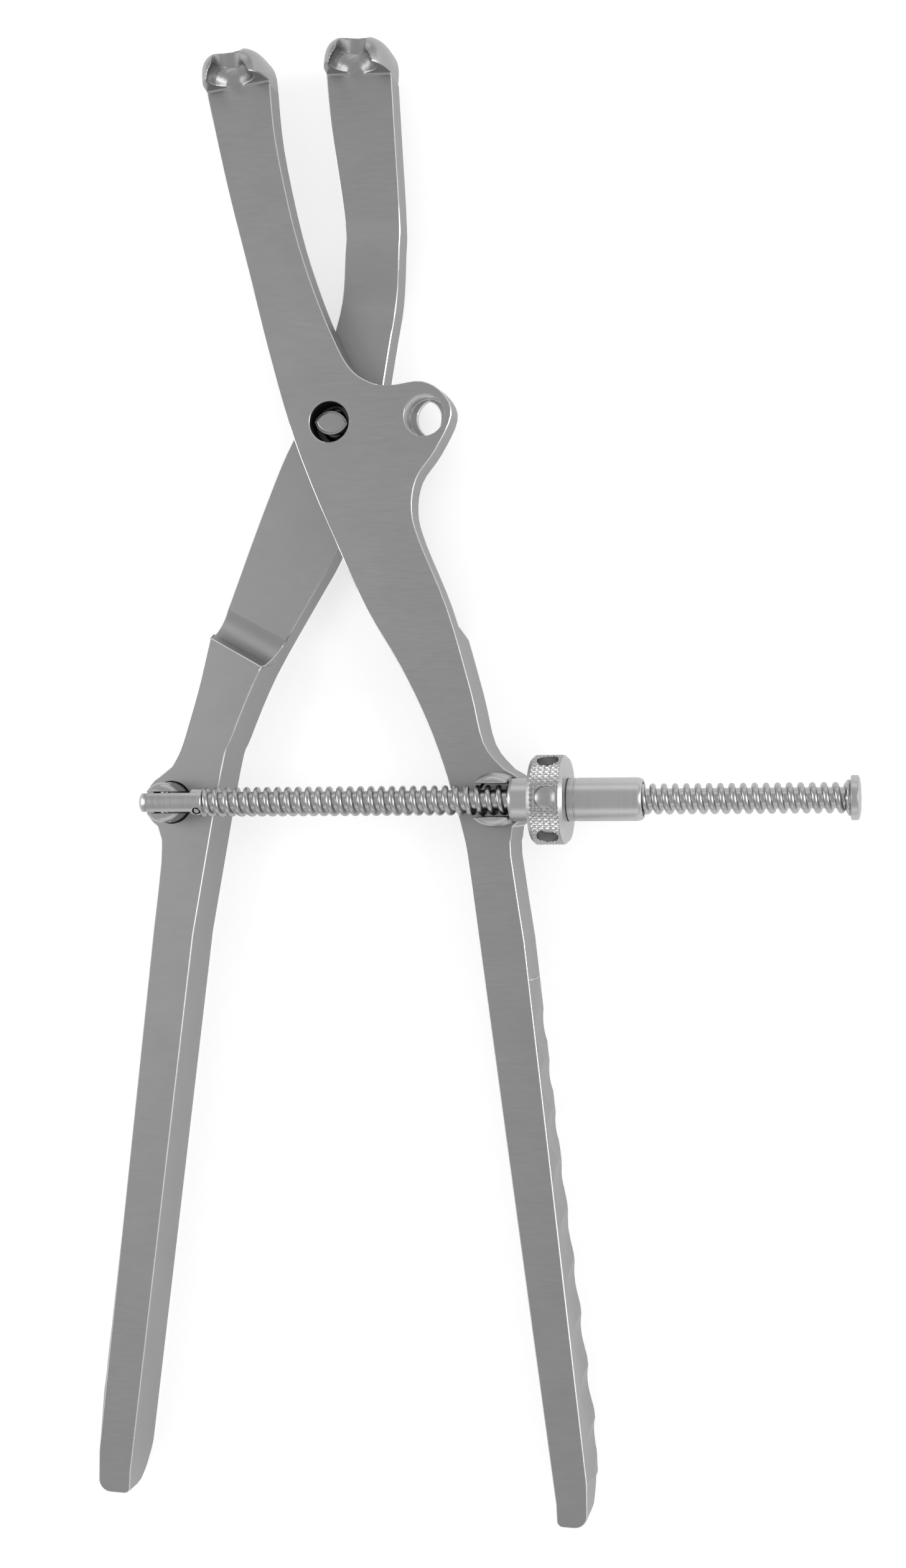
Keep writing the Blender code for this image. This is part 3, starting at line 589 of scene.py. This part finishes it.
# %% Stop disc and weld bead
disc_start, disc_end = reach("stop_disc")
disc_r = (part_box("stop_disc")[1].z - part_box("stop_disc")[0].z) / 2 / MM
s0, s1 = disc_start / MM, disc_end / MM
disc = turned("stop_disc_turned", [(0, s0), (disc_r - 0.25, s0), (disc_r - 0.07, s0 + 0.07),
                                   (disc_r, s0 + 0.25), (disc_r, s1 - 0.75), (disc_r - 0.1, s1 - 0.5),
                                   (disc_r - 0.5, s1 - 0.3), (disc_r * 0.6, s1 - 0.08), (0, s1)])
smooth(disc, 40)
put(disc, "stop_disc", "spindle_body", nut_finish, axis_place)

BEAD_OUT_MM, BEAD_LONG_MM = 0.35, 0.95      # how far it stands off the rod, and half its length
BEAD_RIPPLE_MM, BEAD_RIPPLES = 0.25, 900    # height and scale of the uneven surface
bm = bmesh.new()
bead = bmesh.ops.create_uvsphere(bm, u_segments=64, v_segments=24, radius=1.0)["verts"]
bead_r = rod_r + BEAD_OUT_MM * MM
bmesh.ops.scale(bm, vec=(bead_r, bead_r, BEAD_LONG_MM * MM), verts=bead)
bmesh.ops.translate(bm, vec=(0, 0, disc_start - BEAD_OUT_MM * MM), verts=bead)
for v in bead:
    v.co += v.normal * noise.noise(v.co * BEAD_RIPPLES) * BEAD_RIPPLE_MM * MM
weld = new_object(bm, "weld_bead")
smooth(weld, 60)
weld.data.transform(axis_place)
weld.data.materials.append(rod_finish)
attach(weld, "spindle_body")

# %% [markdown]
# ## Nut: nose and sleeve
# Both are plain turned parts with rounded ends. Each is spun from a half profile with its bore. The sleeve
# has a small step and a fine groove beside the knurled ring.

# %% Nose and sleeve
bore = rod_r / MM + GAP_MM
nose_start, nose_end = [v / MM for v in reach("thrust_collar")]
sleeve_start, sleeve_end = [v / MM for v in reach("nut_sleeve")]
sleeve_r = (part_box("nut_sleeve")[1].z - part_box("nut_sleeve")[0].z) / 2 / MM
quarter = [(sin(radians(t)), 1 - cos(radians(t))) for t in range(0, 91, 15)]
nose = turned("thrust_collar_turned", [(bore, nose_start + 0.2), (bore + 0.2, nose_start)]
              + [(sleeve_r - 0.55 + 0.55 * x, nose_start + 0.9 * y) for x, y in quarter]
              + [(sleeve_r, nose_end), (bore, nose_end)])
smooth(nose, 40)
put(nose, "thrust_collar", "nose_body", nut_finish, axis_place)

ring_start, ring_end = [v / MM for v in reach("knurled_ring")]
sleeve = turned("nut_sleeve_turned", [(bore, sleeve_start), (sleeve_r - 0.35, sleeve_start),
                                      (sleeve_r - 0.35, ring_end + 0.08), (sleeve_r - 0.08, ring_end + 0.08),
                                      (sleeve_r, ring_end + 0.16), (sleeve_r, ring_end + 1.35),
                                      (sleeve_r - 0.16, ring_end + 1.42), (sleeve_r - 0.16, ring_end + 1.66),
                                      (sleeve_r, ring_end + 1.73)]
                + [(sleeve_r - 0.65 + 0.65 * x, sleeve_end - 1.4 * y) for x, y in quarter[::-1]]
                + [(bore + 0.15, sleeve_end), (bore, sleeve_end - 0.2)])
smooth(sleeve, 40)
put(sleeve, "nut_sleeve", "nut_body", nut_finish, axis_place)

# %% [markdown]
# ## Knurled ring
# The diamond knurl is pressed by two crossing sets of grooves. The band is spun with many rows of points,
# and each point on the rim is sunk by its distance to the nearest groove of either set. Six blind
# holes for a turning bar are drilled last, with a cone at the bottom.

# %% Knurled ring
CHAMFER_MM, KNURL_DEPTH_MM, KNURLS = 0.8, 0.38, 54
KNURL_LEAN = 0.84           # 1 would make the diamonds square
ROWS, PER_KNURL = 40, 8     # rows of points along the band, and points around for each diamond
ring_r = (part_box("knurled_ring")[1].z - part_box("knurled_ring")[0].z) / 2 / MM
band0, band1 = ring_start + CHAMFER_MM, ring_end - CHAMFER_MM
inner = sleeve_r + 0.02
profile = [(inner, ring_start), (ring_r - CHAMFER_MM * 0.95, ring_start), (ring_r - 0.12, band0 - 0.1)]
profile += [(ring_r, band0 + (band1 - band0) * i / ROWS) for i in range(ROWS + 1)]
profile += [(ring_r - 0.12, band1 + 0.1), (ring_r - CHAMFER_MM * 0.95, ring_end), (inner, ring_end)]
ring = turned("knurled_ring_diamond", profile, steps=KNURLS * PER_KNURL)
cell = 2 * pi * ring_r / KNURLS
for v in ring.data.vertices:
    r, h = hypot(v.co.x, v.co.y) / MM, v.co.z / MM
    if r > ring_r - 0.05:
        around = atan2(v.co.y, v.co.x) / (2 * pi) * KNURLS
        lengthwise = (h - band0) / cell * KNURL_LEAN
        ridge = [2 * abs(((around + s * lengthwise) % 1) - 0.5) for s in (1, -1)]
        sink = KNURL_DEPTH_MM * max(ridge)
        v.co.x, v.co.y = v.co.x * (1 - sink / r), v.co.y * (1 - sink / r)
HOLES, DRILL_R_MM, FIRST_DEG = 6, 2.1, -4
middle = (ring_start + ring_end) / 2 + 0.1
drills = bmesh.new()
for i in range(HOLES):
    drill = turned("drill", [(0, 4.9), (DRILL_R_MM, 6.1), (DRILL_R_MM, 12), (0, 12)], steps=40)
    drill.data.transform(Matrix.Rotation(2 * pi * i / HOLES + radians(FIRST_DEG), 4, "Z")
                         @ Matrix.Translation((0, 0, middle * MM)) @ Matrix.Rotation(-pi / 2, 4, "Y"))
    drills.from_mesh(drill.data)
    bpy.data.objects.remove(drill, do_unlink=True)
cut(ring, new_object(drills, "drills"))
smooth(ring, 28)
put(ring, "knurled_ring", "nut_body", nut_finish, axis_place)

# %% [markdown]
# ## Studio
# The instrument lies on a white floor. Camera rays see the floor brighter than it is, which gives the
# photograph's white ground and keeps the shadow.

# %% Floor and backdrop
FLOOR_HALF, FLOOR_BELOW = 3, 0.0002     # metres
GLOW_CAMERA, GLOW_GLOSSY = 0.55, 0.32   # extra brightness of the floor for camera and glossy rays
bm = bmesh.new()
bmesh.ops.create_grid(bm, x_segments=1, y_segments=1, size=FLOOR_HALF)
bmesh.ops.translate(bm, vec=(0, 0, cad_box[0][2] - FLOOR_BELOW), verts=bm.verts)
floor = new_object(bm, "floor")
paper = bpy.data.materials.new("white_paper")
paper.use_nodes = True
nodes, links = paper.node_tree.nodes, paper.node_tree.links
nodes["Principled BSDF"].inputs["Base Color"].default_value = (0.70, 0.70, 0.70, 1)
nodes["Principled BSDF"].inputs["Roughness"].default_value = 0.9
path = nodes.new("ShaderNodeLightPath")
parts = []
for ray, share in (("Is Camera Ray", GLOW_CAMERA), ("Is Glossy Ray", GLOW_GLOSSY)):
    scaled = nodes.new("ShaderNodeMath")
    scaled.operation = "MULTIPLY"
    scaled.inputs[1].default_value = share
    links.new(path.outputs[ray], scaled.inputs[0])
    parts.append(scaled.outputs["Value"])
seen = nodes.new("ShaderNodeMath")
seen.operation = "ADD"
for socket, value in zip(seen.inputs, parts):
    links.new(value, socket)
glow = nodes.new("ShaderNodeEmission")
glow.inputs["Color"].default_value = (1, 1, 1, 1)
links.new(seen.outputs["Value"], glow.inputs["Strength"])
total = nodes.new("ShaderNodeAddShader")
links.new(nodes["Principled BSDF"].outputs["BSDF"], total.inputs[0])
links.new(glow.outputs["Emission"], total.inputs[1])
links.new(total.outputs["Shader"], nodes["Material Output"].inputs["Surface"])
floor.data.materials.append(paper)
print("floor at", round(cad_box[0][2] - FLOOR_BELOW, 5))

# %% [markdown]
# Bare metal mostly shows what it mirrors. An even white world fills the flat faces, and four softboxes around
# the instrument give its edges and round parts their highlights. The right one is the strongest.

# %% Lights and world
world = bpy.data.worlds.new("studio")
bpy.context.scene.world = world
world.use_nodes = True
world.node_tree.nodes["Background"].inputs["Color"].default_value = (1, 1, 1, 1)
world.node_tree.nodes["Background"].inputs["Strength"].default_value = 0.55


def softbox(name, where, size, power):
    """Rectangular lamp that faces the origin."""
    lamp = bpy.data.lights.new(name, "AREA")
    lamp.shape, lamp.size, lamp.size_y, lamp.energy = "RECTANGLE", size[0], size[1], power
    obj = bpy.data.objects.new(name, lamp)
    obj.location = where
    obj.rotation_euler = (-Vector(where)).to_track_quat("-Z", "Y").to_euler()
    bpy.context.scene.collection.objects.link(obj)
    return obj


softbox("left_softbox", (-0.80, 0.0, 0.36), (0.5, 1.1), 3.4)
softbox("right_softbox", (0.95, 0.0, 0.34), (0.5, 1.1), 5.0)
softbox("head_softbox", (0.05, 0.90, 0.42), (1.1, 0.5), 0.9)
softbox("foot_softbox", (0.05, -1.00, 0.42), (1.1, 0.5), 0.8)
print("lamps", {lamp.name: round(lamp.energy, 2) for lamp in bpy.data.lights})

# %% [markdown]
# ## Camera
# The camera stands where the photograph's did. Its turn comes from the vanishing point of the lines along
# the arms' thickness, and its lens from how the thread's pitch shrinks along the spindle.

# %% Camera
PHOTO_W, PHOTO_H = 1456, 2521
FOCAL_PX = 3200.0
VANISH_X = 1467.0       # where lines along the arms' thickness meet, in pixels
EYE = (0.11295, -0.07199, 0.39166)
camera = bpy.data.cameras.new("camera")
camera.sensor_fit = "VERTICAL"
camera.sensor_height = 36
camera.lens = FOCAL_PX / PHOTO_H * camera.sensor_height
camera.clip_start = 0.01
eye = bpy.data.objects.new("camera", camera)
eye.location = EYE
eye.rotation_euler = (0, atan2(VANISH_X - PHOTO_W / 2, FOCAL_PX), 0)
bpy.context.scene.collection.objects.link(eye)
bpy.context.scene.camera = eye
bpy.context.scene.view_settings.view_transform = "Standard"
print("lens", round(camera.lens, 2), "mm, eye at", EYE)
